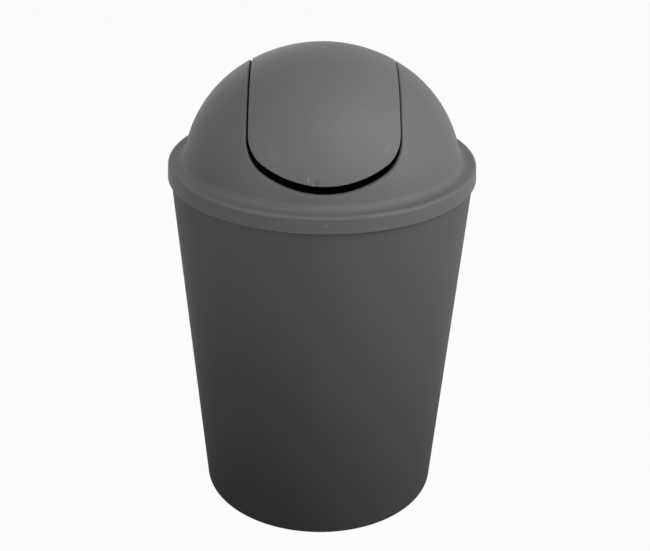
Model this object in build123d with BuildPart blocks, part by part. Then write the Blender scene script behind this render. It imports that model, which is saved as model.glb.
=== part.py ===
from build123d import *
import math
import os

# Swing-lid bin: a tapered bucket, a domed lid, and a flap that swings in the mouth of the lid.
# Millimetres, +Z up, origin at the centre of the foot ring. The flap swings about X, towards -Y and +Y.

# Bucket
foot_radius = 84.0  # outside of the wall, carried down to the floor
rim_radius = 102.9  # outside of the wall at the lid's band, and of the upright rim above it
band_z = 242.6  # height of the lower edge of the lid's band
bucket_wall = 1.8
base_wall = 2.2
base_lift = 2.4  # the base stands this far off the floor inside the foot ring
foot_ring_width = 6.0
foot_edge_radius = 3.7
foot_inner_edge_radius = 0.8
floor_corner_radius = 3.0
rim_edge_radius = 0.35
gate_stub_radius = 2.5  # where the moulding gate was cut off under the base
gate_stub_height = 0.7

# Lid: band, shoulder and locating ring
band_overhang = 2.1  # the band stands this far out over the bucket's wall
band_draft = 0.6  # the band leans in by this much from its lower edge to its top
band_height = 10.9
band_wall = 1.2
band_top_radius = 2.1
band_edge_radius = 0.4
lid_wall = 1.8
shoulder_rise = 0.3  # the shoulder climbs by this much towards the dome
ring_clearance = 0.5  # locating ring to the bucket's inner face
ring_wall = 1.4
ring_depth = 6.5
ring_edge_radius = 0.5
seat_corner_radius = 0.25  # where the rim sits under the shoulder

# Lid: dome, a crown arc that runs into a tighter side arc, turned round the centre line
shoulder_width = 11.0  # from the outside of the band in to the foot of the dome
dome_rise = 76.5  # crown above the shoulder
crown_radius = 102.3
crown_half_angle = 34.4  # degrees from the centre line to where the side arc begins
dome_foot_round = 5.5  # hollow round between dome and shoulder

# Lid: mouth, a tongue shape seen from the front that is cut through from -Y over the crown to +Y
mouth_half_width = 48.5
mouth_sill_z = 262.5
mouth_sill_radius = 83.5
mouth_corner_radius = 19.5
lip_width = 3.4  # band of thicker wall round the mouth
lip_extra = 1.2  # how much thicker it is
lip_edge_radius = 1.0

# Flap
flap_side_gap = 0.8
flap_sill_gap = 5.4
flap_sill_radius = 85.0
flap_corner_radius = 16.5
flap_shift = 0.3  # the flap lies this far to +X within its end play
flap_wall = 1.8
flap_edge_radius = 0.5
flap_rim_wall = 1.4  # stiffening rim under the flap's edge
flap_rim_depth = 3.0
gate_dimple_radius = 1.4  # sunk spot of the moulding gate at the crown
gate_dimple_depth = 0.3
gate_pad_radius = 4.0  # thicker wall under it
gate_pad_depth = 0.6

# Hinge: pins on the flap's cheeks turn in ears of the lid
pivot_depth = 9.0  # pivot below the outside of the dome at the side of the mouth
pin_radius = 2.5
pin_clearance = 0.08
pin_stand_out = 0.3  # pin past the outer face of its ear
pin_end_chamfer = 0.6
hub_radius = 4.0  # stouter root of each pin
hub_gap = 0.5  # hub to ear, each side
ear_wall = 2.2
ear_lobe_radius = 6.8
ear_top_half_width = 11.0
cheek_inset = 0.6  # outer face of a cheek behind the flap's edge
cheek_wall = 1.8
guide_wall = 1.5  # two ribs on each ear lead the pin up to its hole, and stop the flap
guide_height = 2.9
channel_clearance = 0.2  # pin to guide rib
guide_hub_gap = 0.35
swing_limit = 81.0  # degrees each way until a cheek meets a guide rib

# Places worked out from the sizes above
taper = (rim_radius - foot_radius) / band_z
floor_z = base_lift + base_wall
foot_inner_radius = foot_radius - foot_ring_width
shoulder_z = band_z + band_height
rim_z = shoulder_z - lid_wall
band_radius = rim_radius + band_overhang
band_top_outer = band_radius - band_draft
ring_foot_z = rim_z - ring_depth
crown_z = shoulder_z + dome_rise
crown_centre_z = crown_z - crown_radius
crown_turn = math.radians(crown_half_angle)
dome_foot_radius = band_radius - shoulder_width
foot_above_centre = shoulder_z - crown_centre_z
foot_along_turn = dome_foot_radius * math.sin(crown_turn) + foot_above_centre * math.cos(crown_turn)
foot_from_centre = math.hypot(dome_foot_radius, foot_above_centre)
centre_offset = (crown_radius**2 - foot_from_centre**2) / (crown_radius - foot_along_turn) / 2
dome_side_radius = crown_radius - centre_offset
side_centre_r = centre_offset * math.sin(crown_turn)
side_centre_z = crown_centre_z + centre_offset * math.cos(crown_turn)
dome_wall_middle = dome_foot_radius - lid_wall / 2
lip_thickness = lid_wall + lip_extra
mouth_side_z = crown_centre_z + math.sqrt(crown_radius**2 - mouth_half_width**2)
flap_half_width = mouth_half_width - flap_side_gap
flap_sill_z = mouth_sill_z + flap_sill_gap
flap_front = Plane(origin=(flap_shift, 0, 0), x_dir=(1, 0, 0), z_dir=(0, -1, 0))
flap_axis = Axis((flap_shift, 0, 0), (0, 0, 1))
pivot_z = mouth_side_z - pivot_depth
cheek_face_x = flap_half_width - cheek_inset
hub_face_x = mouth_half_width - hub_gap
guide_y = pin_radius + channel_clearance
guide_top_z = pivot_z - math.sqrt((hub_radius + guide_hub_gap) ** 2 - guide_y**2)
flap_inner_depth = (flap_edge_radius + flap_wall) / 2  # rim and cheeks start here, inside the wall
cheek_half_angle = math.atan2(guide_y + guide_wall, guide_top_z - pivot_z) - math.radians(swing_limit)


def bucket_inside(height):
    """Radius of the bucket's inner face at a height."""
    return foot_radius + taper * height - bucket_wall * math.sqrt(1 + taper**2)


def depth_in_dome(point):
    """How far a point lies under the dome's outer face."""
    out = math.hypot(point.X, point.Y)
    if math.atan2(out, point.Z - crown_centre_z) < crown_turn:
        return crown_radius - math.hypot(out, point.Z - crown_centre_z)
    return dome_side_radius - math.hypot(out - side_centre_r, point.Z - side_centre_z)


def edges_on_dome(builder):
    """Edges of the last cut that lie in the dome's outer face, without the face's own seam."""
    near = lid_wall / 4
    chosen = ShapeList()
    for edge in builder.edges(Select.LAST):
        on_face = all(depth_in_dome(edge @ along) < near for along in (0, 0.5, 1))
        is_seam = abs((edge @ 0).Y) + abs((edge @ 1).Y) < near
        if on_face and not is_seam:
            chosen.append(edge)
    return chosen


def dome_outline(depth):
    """Half the dome's outline at a depth under its outer face, from the height of the rim to the crown."""
    side_radius = dome_side_radius - depth
    rim_angle = math.degrees(math.asin((rim_z - side_centre_z) / side_radius))
    side_arc_size = 90 - crown_half_angle - rim_angle
    with BuildLine() as outline:
        CenterArc((side_centre_r, side_centre_z), side_radius, rim_angle, side_arc_size)
        CenterArc((0, crown_centre_z), crown_radius - depth, 90 - crown_half_angle, crown_half_angle)
    return outline.line


def dome_section(depth, inner_depth):
    """Half the dome's wall in section, between two depths under its outer face."""
    outer = dome_outline(depth)
    inner = dome_outline(inner_depth)
    with BuildSketch() as section:
        with BuildLine():
            add(outer)
            add(inner)
            Line(outer @ 0, inner @ 0)
            Line(outer @ 1, inner @ 1)
        make_face()
    return section.sketch


def dome_core(depth):
    """Half the solid space inside the dome, up to a depth under its outer face."""
    outer = dome_outline(depth)
    with BuildSketch() as section:
        with BuildLine():
            add(outer)
            Polyline(outer @ 1, (0, rim_z), outer @ 0)
        make_face()
    return section.sketch


def tongue(half_width, sill_z, sill_radius, corner_radius):
    """The tongue shape of mouth and flap seen from the front, running up past the crown."""
    corner_z = sill_z + sill_radius - math.sqrt(sill_radius**2 - half_width**2)
    top_z = crown_z + lid_wall
    left = -half_width
    right = half_width
    with BuildSketch() as outline:
        with BuildLine():
            ThreePointArc((left, corner_z), (0, sill_z), (right, corner_z))
            Polyline((right, corner_z), (right, top_z), (left, top_z), (left, corner_z))
        make_face()
        fillet(outline.vertices().sort_by(Axis.Y)[:2], corner_radius)
    return outline.sketch


def mouth_outline(margin):
    """The mouth's outline, larger all round by a margin."""
    return tongue(
        mouth_half_width + margin,
        mouth_sill_z - margin,
        mouth_sill_radius + margin,
        mouth_corner_radius + margin,
    )


def flap_outline(margin):
    """The flap's outline, smaller all round by a margin."""
    return tongue(
        flap_half_width - margin,
        flap_sill_z + margin,
        flap_sill_radius - margin,
        flap_corner_radius - margin,
    )


# Bucket, turned from its section
with BuildPart() as bucket:
    with BuildSketch(Plane.XZ):
        with BuildLine():
            FilletPolyline(
                (0, base_lift),
                (foot_inner_radius - base_lift / 2, base_lift),
                (foot_inner_radius, 0),
                (foot_radius, 0),
                (rim_radius, band_z),
                (rim_radius, rim_z),
                (bucket_inside(rim_z), rim_z),
                (bucket_inside(floor_z), floor_z),
                (0, floor_z),
                radius=[
                    foot_inner_edge_radius,
                    foot_inner_edge_radius,
                    foot_edge_radius,
                    0,
                    rim_edge_radius,
                    rim_edge_radius,
                    floor_corner_radius,
                ],
            )
            Line((0, floor_z), (0, base_lift))
        make_face()
    revolve(axis=Axis.Z)
    with BuildSketch(Plane.XY.offset(base_lift)):
        Circle(gate_stub_radius)
    extrude(amount=-gate_stub_height)

bucket.part.label = "bucket"

# Thicker wall round the mouth, here still with the mouth filled in
with BuildPart() as lip:
    with BuildSketch(Plane.XZ):
        add(dome_section(lid_wall, lip_thickness))
    revolve(axis=Axis.Z)
    with BuildSketch(Plane.XZ):
        add(mouth_outline(lip_width))
    extrude(amount=rim_radius, both=True, mode=Mode.INTERSECT)

# Ears that hang inside the lip beside the crown and carry the flap's pins
with BuildPart() as ears:
    for side in (-1, 1):
        with BuildSketch(Plane.YZ.offset(side * mouth_half_width)):
            with BuildLine():
                Polyline(
                    (-ear_top_half_width, mouth_side_z),
                    (-ear_lobe_radius, pivot_z),
                    (ear_lobe_radius, pivot_z),
                    (ear_top_half_width, mouth_side_z),
                    close=True,
                )
            make_face()
            with Locations((0, pivot_z)):
                Circle(ear_lobe_radius)
        extrude(amount=side * ear_wall)
        with BuildSketch(Plane.YZ.offset(side * mouth_half_width)):
            with Locations((guide_y, guide_top_z)):
                Rectangle(guide_wall, guide_height, align=(Align.MIN, Align.MAX))
            with Locations((-guide_y, guide_top_z)):
                Rectangle(guide_wall, guide_height, align=(Align.MAX, Align.MAX))
        extrude(amount=side * (cheek_face_x - cheek_wall / 2 - mouth_half_width))
    with BuildSketch(Plane.XZ):
        add(dome_core((lip_edge_radius + lip_thickness) / 2))
    revolve(axis=Axis.Z, mode=Mode.INTERSECT)

# Lid, turned from its section, then cut for the mouth
with BuildPart() as lid:
    with BuildSketch(Plane.XZ) as lid_section:
        add(dome_section(0, lid_wall))
        with BuildLine():
            FilletPolyline(
                (dome_wall_middle, rim_z),
                (bucket_inside(ring_foot_z) - ring_clearance - ring_wall, rim_z),
                (bucket_inside(ring_foot_z) - ring_clearance - ring_wall, ring_foot_z),
                (bucket_inside(ring_foot_z) - ring_clearance, ring_foot_z),
                (bucket_inside(ring_foot_z) - ring_clearance, rim_z),
                (band_top_outer - band_wall, rim_z),
                (band_radius - band_wall, band_z),
                (band_radius, band_z),
                (band_top_outer, shoulder_z),
                (dome_wall_middle, shoulder_z + shoulder_rise),
                radius=[
                    0,
                    ring_edge_radius,
                    ring_edge_radius,
                    ring_edge_radius,
                    seat_corner_radius,
                    seat_corner_radius,
                    seat_corner_radius,
                    band_edge_radius,
                    band_top_radius,
                    0,
                ],
                close=True,
            )
        make_face()
        outer_corner = lid_section.vertices().sort_by_distance((dome_foot_radius, shoulder_z, 0))[0]
        fillet(outer_corner, dome_foot_round)
        inner_corner = lid_section.vertices().sort_by_distance((dome_wall_middle, rim_z, 0))[0]
        fillet(inner_corner, dome_foot_round + lid_wall)
    revolve(axis=Axis.Z)
    add(lip.part)
    with BuildSketch(Plane.XZ):
        add(mouth_outline(0))
    extrude(amount=rim_radius, both=True, mode=Mode.SUBTRACT)
    fillet(edges_on_dome(lid), lip_edge_radius)
    add(ears.part)
    with BuildSketch(Plane.YZ):
        with Locations((0, pivot_z)):
            Circle(pin_radius + pin_clearance)
    extrude(amount=mouth_half_width + 2 * ear_wall, both=True, mode=Mode.SUBTRACT)

lid.part.label = "lid"

# Stiffening rim under the flap's edge
with BuildPart() as flap_rim:
    with BuildSketch(flap_front):
        add(dome_section(flap_inner_depth, flap_wall + flap_rim_depth))
    revolve(axis=flap_axis)
    with BuildSketch(flap_front):
        add(flap_outline(0))
        add(flap_outline(flap_rim_wall), mode=Mode.SUBTRACT)
    extrude(amount=rim_radius, both=True, mode=Mode.INTERSECT)

# Cheeks that hang from the flap beside the crown, wedges with their point at the pivot
with BuildPart() as cheeks:
    wedge_half_width = flap_half_width * math.sin(cheek_half_angle)
    wedge_top_z = pivot_z + flap_half_width * math.cos(cheek_half_angle)
    for side in (-1, 1):
        with BuildSketch(Plane.YZ.offset(flap_shift + side * cheek_face_x)):
            with BuildLine():
                Polyline(
                    (0, pivot_z),
                    (-wedge_half_width, wedge_top_z),
                    (wedge_half_width, wedge_top_z),
                    close=True,
                )
            make_face()
            with Locations((0, pivot_z)):
                Circle(hub_radius)
        extrude(amount=-side * cheek_wall)
    with BuildSketch(flap_front):
        add(dome_core(flap_inner_depth))
    revolve(axis=flap_axis, mode=Mode.INTERSECT)

# Flap, cut from the same dome as the lid, with its pivot pins
with BuildPart() as flap:
    with BuildSketch(flap_front):
        add(dome_section(0, flap_wall))
    revolve(axis=flap_axis)
    with BuildSketch(flap_front):
        add(flap_outline(0))
    extrude(amount=rim_radius, both=True, mode=Mode.INTERSECT)
    fillet(edges_on_dome(flap), flap_edge_radius)
    add(flap_rim.part)
    add(cheeks.part)
    with BuildSketch(Plane.XY.offset(crown_z)):
        with Locations((flap_shift, 0)):
            Circle(gate_dimple_radius)
    extrude(amount=-gate_dimple_depth, mode=Mode.SUBTRACT)
    with BuildSketch(Plane.XY.offset(crown_z - flap_wall / 2)):
        with Locations((flap_shift, 0)):
            Circle(gate_pad_radius)
    extrude(amount=-flap_wall / 2 - gate_pad_depth)
    for side in (-1, 1):
        with BuildSketch(Plane.YZ.offset(flap_shift + side * (cheek_face_x - cheek_wall / 2))):
            with Locations((0, pivot_z)):
                Circle(hub_radius)
        extrude(amount=side * (hub_face_x - cheek_face_x + cheek_wall / 2))
        with BuildSketch(Plane.YZ.offset(flap_shift + side * hub_face_x)):
            with Locations((0, pivot_z)):
                Circle(pin_radius)
        extrude(amount=side * (hub_gap + ear_wall + pin_stand_out))
        pin_ends = flap.faces().filter_by(GeomType.PLANE).sort_by(Axis.X)
        chamfer((pin_ends[-1] if side > 0 else pin_ends[0]).edges(), pin_end_chamfer)

flap.part.label = "flap"

os.makedirs("parts", exist_ok=True)
export_step(bucket.part, "parts/bucket.step")
export_step(lid.part, "parts/lid.step")
export_step(flap.part, "parts/flap.step")
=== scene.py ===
import math

import bpy
from mathutils import Matrix

# Swing-lid bin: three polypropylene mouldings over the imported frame, which holds their shapes. Metres, +Z up.
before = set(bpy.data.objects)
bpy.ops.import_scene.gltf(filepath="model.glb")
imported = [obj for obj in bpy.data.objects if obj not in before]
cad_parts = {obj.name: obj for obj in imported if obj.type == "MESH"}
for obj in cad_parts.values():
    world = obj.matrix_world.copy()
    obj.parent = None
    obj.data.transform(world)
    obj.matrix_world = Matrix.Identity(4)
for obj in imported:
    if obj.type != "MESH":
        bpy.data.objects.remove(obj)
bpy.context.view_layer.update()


# Bucket
# One polypropylene moulding in anthracite grey. Its steel mould was spark-eroded, which leaves a fine matt grain,
# and the melt ran up the wall from the gate under the base, which leaves faint upright streaks.
millimetre = 0.001  # in Blender's metres


def linear(hex_colour):
    """An sRGB hex colour as the linear RGBA that Blender's sockets take."""
    shares = [int(hex_colour[start : start + 2], 16) / 255 for start in (1, 3, 5)]
    return [s / 12.92 if s <= 0.04045 else ((s + 0.055) / 1.055) ** 2.4 for s in shares] + [1.0]


def node(tree, kind, settings=None, **inputs):
    """Adds a node. Inputs are numbers, colours, or sockets to link, by name with _ for a space, or by place as i0."""
    made = tree.nodes.new(kind)
    for name, value in (settings or {}).items():
        setattr(made, name, value)
    for name, value in inputs.items():
        socket = made.inputs[int(name[1:])] if name[1:].isdigit() else made.inputs[name.replace("_", " ")]
        if isinstance(value, bpy.types.NodeSocket):
            tree.links.new(value, socket)
        else:
            socket.default_value = value
    return made


def new_material(name):
    """An empty node material and its tree."""
    material = bpy.data.materials.new(name)
    material.use_nodes = True
    material.node_tree.nodes.clear()
    return material, material.node_tree


bucket_plastic, tree = new_material("spark_eroded_polypropylene")
place = node(tree, "ShaderNodeTexCoord").outputs["Object"]
streak_width = 9 * millimetre
streak_length = 120 * millimetre
along_wall = node(
    tree, "ShaderNodeMapping", Vector=place, Scale=(1 / streak_width, 1 / streak_width, 1 / streak_length)
)
streaks = node(tree, "ShaderNodeTexNoise", Vector=along_wall.outputs[0], Scale=1.0, Detail=3.0, Roughness=0.55)
wall_colour = node(
    tree,
    "ShaderNodeMix",
    {"data_type": "RGBA"},
    Factor=streaks.outputs["Fac"],
    i6=linear("#5b5b5c"),
    i7=linear("#606061"),
)

# The foot is scuffed pale where it slides on the floor, in patches, up to a few millimetres above it.
scuff_height = 3.5 * millimetre
scuff_patch = 5 * millimetre
scuff_share = 0.7
height = node(tree, "ShaderNodeSeparateXYZ", Vector=place)
near_floor = node(
    tree,
    "ShaderNodeMapRange",
    Value=height.outputs["Z"],
    From_Min=scuff_height,
    From_Max=0.0,
    To_Max=scuff_share,
)
patches = node(tree, "ShaderNodeTexNoise", Vector=place, Scale=1 / scuff_patch, Detail=4.0, Roughness=0.7)
scuffs = node(
    tree,
    "ShaderNodeMath",
    {"operation": "MULTIPLY"},
    i0=near_floor.outputs[0],
    i1=patches.outputs["Fac"],
)
scuffed_colour = node(
    tree,
    "ShaderNodeMix",
    {"data_type": "RGBA"},
    Factor=scuffs.outputs[0],
    i6=wall_colour.outputs[2],
    i7=linear("#858586"),
)

# The real grain is about 0.05 mm across. It is drawn at 0.7 mm, the finest that the render can show, so it gives
# the eye a soft, even sheen in place of single highlights.
grain_size = 0.7 * millimetre
grain_height = 0.02 * millimetre
refraction_index = 1.49  # of polypropylene
grain = node(tree, "ShaderNodeTexNoise", Vector=place, Scale=1 / grain_size, Detail=2.0, Roughness=0.6)
grain_relief = node(
    tree, "ShaderNodeBump", Strength=0.3, Distance=grain_height, Height=grain.outputs["Fac"]
)
wall_gloss = node(tree, "ShaderNodeMapRange", Value=streaks.outputs["Fac"], To_Min=0.55, To_Max=0.65)
surface = node(
    tree,
    "ShaderNodeBsdfPrincipled",
    Base_Color=scuffed_colour.outputs[2],
    Roughness=wall_gloss.outputs[0],
    IOR=refraction_index,
    Specular_IOR_Level=0.06,
    Normal=grain_relief.outputs[0],
)
node(tree, "ShaderNodeOutputMaterial", Surface=surface.outputs[0])
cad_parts["bucket"].material_slots[0].material = bucket_plastic


# Lid
# Dome, shoulder and band are one polypropylene moulding of the bucket's colour. Its mould was polished finer, so
# it shines a little more. The band's lower edge is painted paler in patches, a painted highlight along it.
def mark(tree, place, centre, size, lean=0.0):
    """How much of a mark shows: 1 in its middle, 0 outside its three half sizes. It leans about Y, in degrees."""
    inside = node(
        tree,
        "ShaderNodeMapping",
        {"vector_type": "TEXTURE"},
        Vector=place,
        Location=[value * millimetre for value in centre],
        Rotation=(0, math.radians(lean), 0),
        Scale=[value * millimetre for value in size],
    )
    away = node(tree, "ShaderNodeVectorMath", {"operation": "LENGTH"}, i0=inside.outputs[0])
    shown = node(
        tree,
        "ShaderNodeMapRange",
        {"interpolation_type": "SMOOTHSTEP"},
        Value=away.outputs["Value"],
        From_Min=1.0,
        From_Max=0.3,
    )
    return shown.outputs[0]


lid_plastic, tree = new_material("satin_polypropylene_lid")
place = node(tree, "ShaderNodeTexCoord").outputs["Object"]
cloud_size = 38 * millimetre
clouds = node(tree, "ShaderNodeTexNoise", Vector=place, Scale=1 / cloud_size, Detail=4.0, Roughness=0.55)
lid_colour = node(
    tree,
    "ShaderNodeMix",
    {"data_type": "RGBA"},
    Factor=clouds.outputs["Fac"],
    i6=linear("#5a5a5b"),
    i7=linear("#636364"),
)
# A painted highlight: the band is painted paler in patches along its lower edge, where its rounding catches the
# light.
band_foot = 242.6 * millimetre
edge_highlight_height = 0.7 * millimetre
edge_highlight_patch = 7 * millimetre
edge_highlight_share = 0.8
height = node(tree, "ShaderNodeSeparateXYZ", Vector=place)
near_edge = node(
    tree,
    "ShaderNodeMapRange",
    Value=height.outputs["Z"],
    From_Min=band_foot + edge_highlight_height,
    From_Max=band_foot,
    To_Max=edge_highlight_share,
)
patches = node(tree, "ShaderNodeTexNoise", Vector=place, Scale=1 / edge_highlight_patch, Detail=3.0, Roughness=0.6)
painted_edge_highlight = node(
    tree, "ShaderNodeMath", {"operation": "MULTIPLY"}, i0=near_edge.outputs[0], i1=patches.outputs["Fac"]
)
edge_lit_colour = node(
    tree,
    "ShaderNodeMix",
    {"data_type": "RGBA"},
    Factor=painted_edge_highlight.outputs[0],
    i6=lid_colour.outputs[2],
    i7=linear("#8c8c8d"),
)

# A pale fleck on the front of the band.
fleck_strength = 0.5
fleck = mark(tree, place, centre=(1.2, -104.7, 248), size=(1.6, 3, 1.4))
fleck_share = node(tree, "ShaderNodeMath", {"operation": "MULTIPLY"}, i0=fleck, i1=fleck_strength)
lid_surface_colour = node(
    tree,
    "ShaderNodeMix",
    {"data_type": "RGBA"},
    Factor=fleck_share.outputs[0],
    i6=edge_lit_colour.outputs[2],
    i7=linear("#7c7c7d"),
)
grain = node(tree, "ShaderNodeTexNoise", Vector=place, Scale=1 / grain_size, Detail=2.0, Roughness=0.6)
grain_relief = node(
    tree, "ShaderNodeBump", Strength=0.2, Distance=grain_height, Height=grain.outputs["Fac"]
)
lid_gloss = node(tree, "ShaderNodeMapRange", Value=clouds.outputs["Fac"], To_Min=0.48, To_Max=0.58)
surface = node(
    tree,
    "ShaderNodeBsdfPrincipled",
    Base_Color=lid_surface_colour.outputs[2],
    Roughness=lid_gloss.outputs[0],
    IOR=refraction_index,
    Specular_IOR_Level=0.2,
    Normal=grain_relief.outputs[0],
)
node(tree, "ShaderNodeOutputMaterial", Surface=surface.outputs[0])
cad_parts["lid"].material_slots[0].material = lid_plastic


# Flap
# The same polypropylene, satin like the lid. It carries the pale scar of its gate at the crown, and the rubs and
# the nick that pushing hands have left by its front edge. There it is also painted with the highlight and the shade
# of a small dent. Its back half is plain.
flap_plastic, tree = new_material("satin_polypropylene_flap")
place = node(tree, "ShaderNodeTexCoord").outputs["Object"]
clouds = node(tree, "ShaderNodeTexNoise", Vector=place, Scale=1 / cloud_size, Detail=4.0, Roughness=0.55)
flap_colour = node(
    tree,
    "ShaderNodeMix",
    {"data_type": "RGBA"},
    Factor=clouds.outputs["Fac"],
    i6=linear("#5f5f60"),
    i7=linear("#686869"),
)
# Each mark: its centre and half sizes in millimetres, its lean in degrees, and how strongly it shows.
pale_marks_and_highlight = {
    "gate_scar": ((0.3, 0, 330), (2.0, 2.0, 2), 0, 0.9),
    # A painted highlight: the pale upright line is the lit side of a small dent by the front edge.
    "dent_painted_highlight": ((-9.4, -88.6, 271.8), (0.8, 4, 3.0), 0, 0.45),
    "nick_on_edge": ((-6.3, -90.4, 268.3), (1.9, 4, 1.3), 0, 0.9),
    "short_rub": ((-1.4, -87.5, 274), (1.6, 4, 0.5), 8, 0.2),
    "corner_rub": ((39.1, -71, 286.3), (2.2, 9, 7.5), 33, 0.09),
    "faint_corner_rub": ((-31, -77, 283), (4.5, 9, 9), -40, 0.05),
}
colour = flap_colour.outputs[2]
for centre, size, lean, share in pale_marks_and_highlight.values():
    shown = mark(tree, place, centre, size, lean)
    part = node(tree, "ShaderNodeMath", {"operation": "MULTIPLY"}, i0=shown, i1=share)
    mixed = node(
        tree,
        "ShaderNodeMix",
        {"data_type": "RGBA"},
        Factor=part.outputs[0],
        i6=colour,
        i7=linear("#96969a"),
    )
    colour = mixed.outputs[2]
# A painted shade: the dark patch is the shaded side of the same dent.
dent_shade_strength = 0.45
dent_painted_shade = mark(tree, place, centre=(-4.2, -88.8, 270.6), size=(2.6, 5, 3))
dent_shade_share = node(tree, "ShaderNodeMath", {"operation": "MULTIPLY"}, i0=dent_painted_shade, i1=dent_shade_strength)
marked_and_shaded_colour = node(
    tree,
    "ShaderNodeMix",
    {"data_type": "RGBA"},
    Factor=dent_shade_share.outputs[0],
    i6=colour,
    i7=linear("#3c3c3d"),
)
grain = node(tree, "ShaderNodeTexNoise", Vector=place, Scale=1 / grain_size, Detail=2.0, Roughness=0.6)
grain_relief = node(
    tree, "ShaderNodeBump", Strength=0.15, Distance=grain_height, Height=grain.outputs["Fac"]
)
flap_gloss = node(tree, "ShaderNodeMapRange", Value=clouds.outputs["Fac"], To_Min=0.48, To_Max=0.56)
surface = node(
    tree,
    "ShaderNodeBsdfPrincipled",
    Base_Color=marked_and_shaded_colour.outputs[2],
    Roughness=flap_gloss.outputs[0],
    IOR=refraction_index,
    Specular_IOR_Level=0.2,
    Normal=grain_relief.outputs[0],
)
node(tree, "ShaderNodeOutputMaterial", Surface=surface.outputs[0])
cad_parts["flap"].material_slots[0].material = flap_plastic


# Floor
# A pale, plain studio floor. It shows as white to the camera and in gloss, and keeps the bin's shadow. Round the foot
# its white in gloss is painted down, a painted shadow of the bin, so the lower wall finds it dark there.
floor_size = 8.0
floor_drop = 0.2 * millimetre  # below the foot, so that the two faces don't flicker
bpy.ops.object.select_all(action="DESELECT")
bpy.ops.mesh.primitive_plane_add(size=floor_size, location=(0, 0, -floor_drop))
bpy.ops.object.transform_apply(location=True)
floor = bpy.context.object
floor.name = "studio_floor"


def white_to(tree):
    """The light path of a ray, and 1 on the rays that find the room white: the camera's, in gloss, through glass."""
    rays = node(tree, "ShaderNodeLightPath")
    add = {"operation": "ADD", "use_clamp": True}
    seen_or_glossy = node(
        tree, "ShaderNodeMath", add, i0=rays.outputs["Is Camera Ray"], i1=rays.outputs["Is Glossy Ray"]
    )
    seen = node(
        tree, "ShaderNodeMath", add, i0=seen_or_glossy.outputs[0], i1=rays.outputs["Is Transmission Ray"]
    )
    return rays, seen.outputs[0]


floor_paper, tree = new_material("pale_studio_paper")
rays, seen_white = white_to(tree)
place = node(tree, "ShaderNodeTexCoord").outputs["Object"]
from_middle = node(tree, "ShaderNodeVectorMath", {"operation": "LENGTH"}, i0=place)
# A painted shadow of the bin: in gloss the floor's white falls to a tenth at the foot and grows back with distance.
shade_start = 80 * millimetre
shade_reach = 350 * millimetre
white_at_foot = 0.1
white_of_paper = 0.96  # the rest shows the bin's faint shadow
open_floor = node(
    tree,
    "ShaderNodeMapRange",
    Value=from_middle.outputs["Value"],
    From_Min=shade_start,
    From_Max=shade_reach,
    To_Min=white_at_foot,
)
lit_share = node(
    tree, "ShaderNodeMath", {"operation": "MAXIMUM"}, i0=open_floor.outputs[0], i1=rays.outputs["Is Camera Ray"]
)
white_part = node(tree, "ShaderNodeMath", {"operation": "MULTIPLY"}, i0=seen_white, i1=lit_share.outputs[0])
white_share = node(
    tree, "ShaderNodeMath", {"operation": "MULTIPLY"}, i0=white_part.outputs[0], i1=white_of_paper
)

# The light that it throws back is kept low, so that the bin's foot stays dark.
paper_colour = node(
    tree,
    "ShaderNodeMix",
    {"data_type": "RGBA"},
    Factor=rays.outputs["Is Camera Ray"],
    i6=linear("#2e2e2e"),
    i7=linear("#e6e6e6"),
)
paper = node(tree, "ShaderNodeBsdfPrincipled", Base_Color=paper_colour.outputs[2], Roughness=0.8)
white = node(tree, "ShaderNodeEmission", Color=linear("#ffffff"), Strength=1.0)
both = node(tree, "ShaderNodeMixShader", i0=white_share.outputs[0], i1=paper.outputs[0], i2=white.outputs[0])
node(tree, "ShaderNodeOutputMaterial", Surface=both.outputs[0])
floor.data.materials.append(floor_paper)


# Studio light
# Soft boxes round the bin, aimed at the lid, and a dim room. The room is white to the camera and in gloss.
aim = (0, 0, 0.28)
box_far, box_near = 1.2, 0.6
box_large, box_small = 0.8, 0.35
grid_spread = 70
room_strength = 0.03


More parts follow.
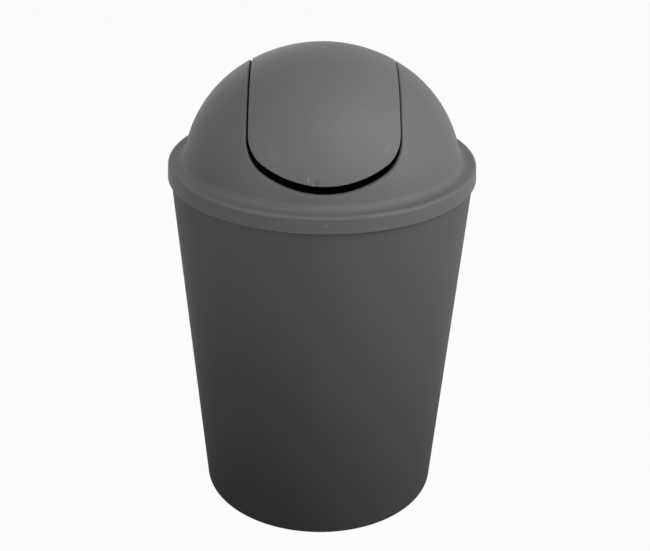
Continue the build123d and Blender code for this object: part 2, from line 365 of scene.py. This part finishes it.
def soft_box(name, azimuth, elevation, distance, size, strength, spread=180):
    """A square soft box at a direction from the aim, in degrees from +X, and facing it. A grid narrows its spread."""
    lamp = bpy.data.lights.new(name, "AREA")
    lamp.shape = "SQUARE"
    lamp.size = size
    lamp.energy = strength
    lamp.spread = math.radians(spread)
    holder = bpy.data.objects.new(name, lamp)
    turn = Matrix.Rotation(math.radians(azimuth + 90), 4, "Z")
    tilt = Matrix.Rotation(math.radians(90 - elevation), 4, "X")
    out = Matrix.Translation((0, 0, distance))
    holder.matrix_world = Matrix.Translation(aim) @ turn @ tilt @ out
    holder.visible_camera = False
    bpy.context.scene.collection.objects.link(holder)


soft_box("right_high_soft_box", 0, 30, box_far, box_large, 2.845)
soft_box("left_high_soft_box", 180, 30, box_far, box_large, 1.1)
soft_box("right_soft_box", -5, 8, box_far, box_large, 1.971)
soft_box("near_front_right_soft_box", -50, 55, box_near, box_small, 1.7)
soft_box("gridded_front_soft_box", -80, 15, box_near, box_small, 0.132, spread=grid_spread)
soft_box("gridded_right_soft_box", -30, 15, box_near, box_small, 0.283, spread=grid_spread)
soft_box("gridded_left_soft_box", -135, 15, box_near, box_small, 0.227, spread=grid_spread)
soft_box("rear_soft_box", 110, 10, box_far, box_large, 1.4)

world = bpy.data.worlds.new("white_room")
bpy.context.scene.world = world
world.use_nodes = True
tree = world.node_tree
tree.nodes.clear()
rays, seen_white = white_to(tree)
room = node(tree, "ShaderNodeBackground", Color=linear("#ffffff"), Strength=room_strength)
backdrop = node(tree, "ShaderNodeBackground", Color=linear("#ffffff"), Strength=1.0)
both = node(tree, "ShaderNodeMixShader", i0=seen_white, i1=room.outputs[0], i2=backdrop.outputs[0])
node(tree, "ShaderNodeOutputWorld", Surface=both.outputs[0])


# Camera
# Stands where the photo's camera did, a little above the bin and looking down at it.
camera_place = (-10.5 * millimetre, -810.7 * millimetre, 561.7 * millimetre)
camera = bpy.data.cameras.new("photo_camera")
camera.sensor_fit = "HORIZONTAL"
camera.sensor_width = 36  # mm
camera.lens = 70.2  # mm, fitted to the outline in the photo
holder = bpy.data.objects.new("photo_camera", camera)
heading_angle, down_angle, roll_angle = -0.95, 26.168, 0.778
heading = Matrix.Rotation(math.radians(heading_angle), 4, "Z")
look_down = Matrix.Rotation(math.radians(90 - down_angle), 4, "X")
roll = Matrix.Rotation(math.radians(roll_angle), 4, "Z")
holder.matrix_world = Matrix.Translation(camera_place) @ heading @ look_down @ roll
bpy.context.scene.collection.objects.link(holder)
bpy.context.scene.camera = holder
bpy.context.scene.view_settings.view_transform = "Standard"
